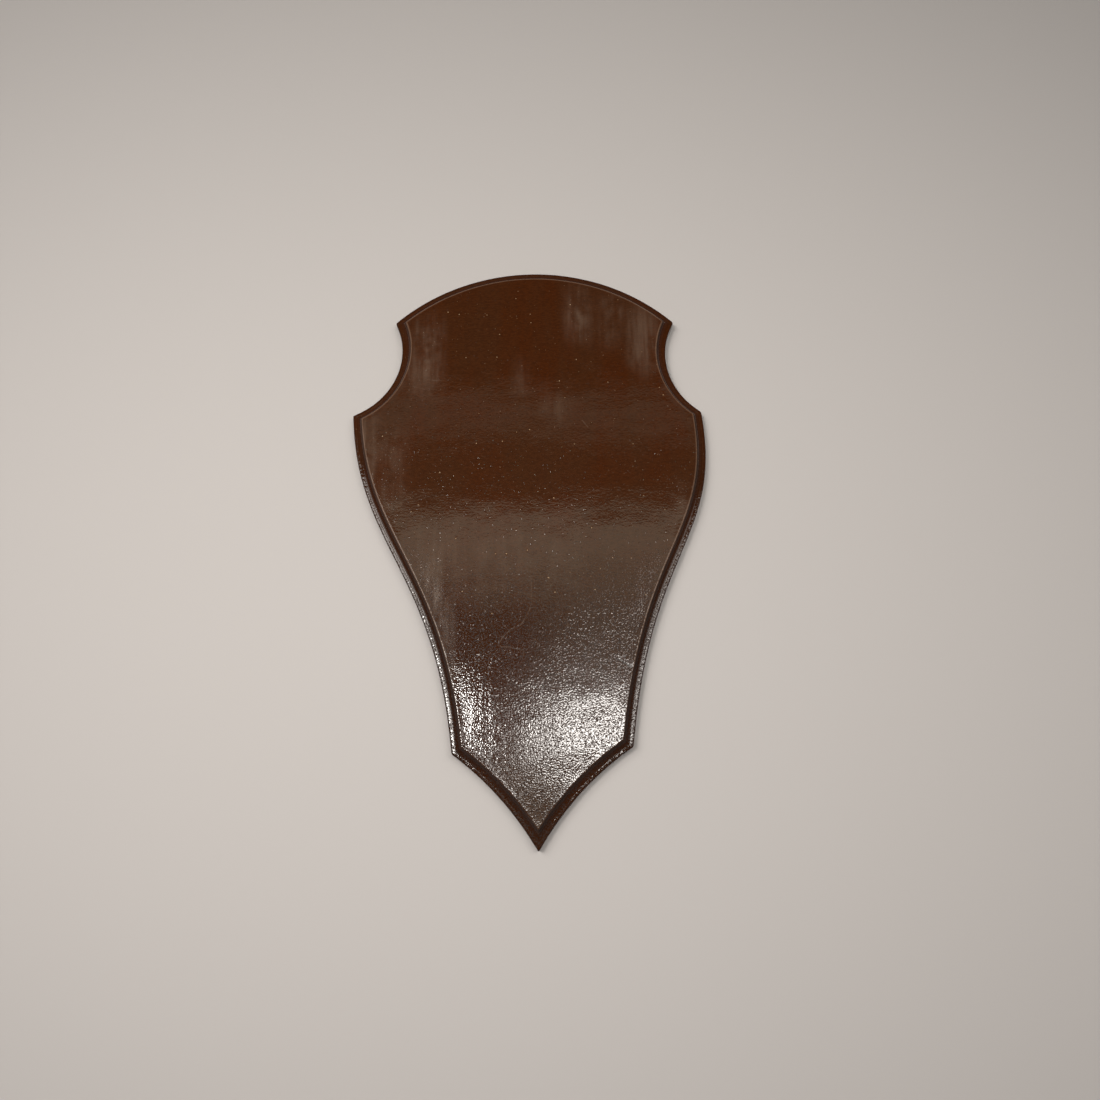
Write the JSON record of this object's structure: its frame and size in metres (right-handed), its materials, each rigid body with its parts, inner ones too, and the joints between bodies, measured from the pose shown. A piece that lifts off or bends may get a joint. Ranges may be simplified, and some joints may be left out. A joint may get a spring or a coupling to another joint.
{
  "type": "wooden shield mounting board",
  "caption": "Flat wooden board with a shield outline, an arched top between two notches and a cove round its front edge, for mounting a trophy or plaque.",
  "frame": {"origin": "middle of the board's bounding box, on its flat back", "axes": "+Z out of the front face, +Y from the point towards the arched top"},
  "size_m": [0.3174, 0.519, 0.02],
  "materials": {
    "lacquered_wood": "thick glossy brown lacquer over wood, with brush streaks and dust nibs"
  },
  "bodies": {
    "root": {"shield_board": "lacquered_wood"}
  },
  "joints": []
}
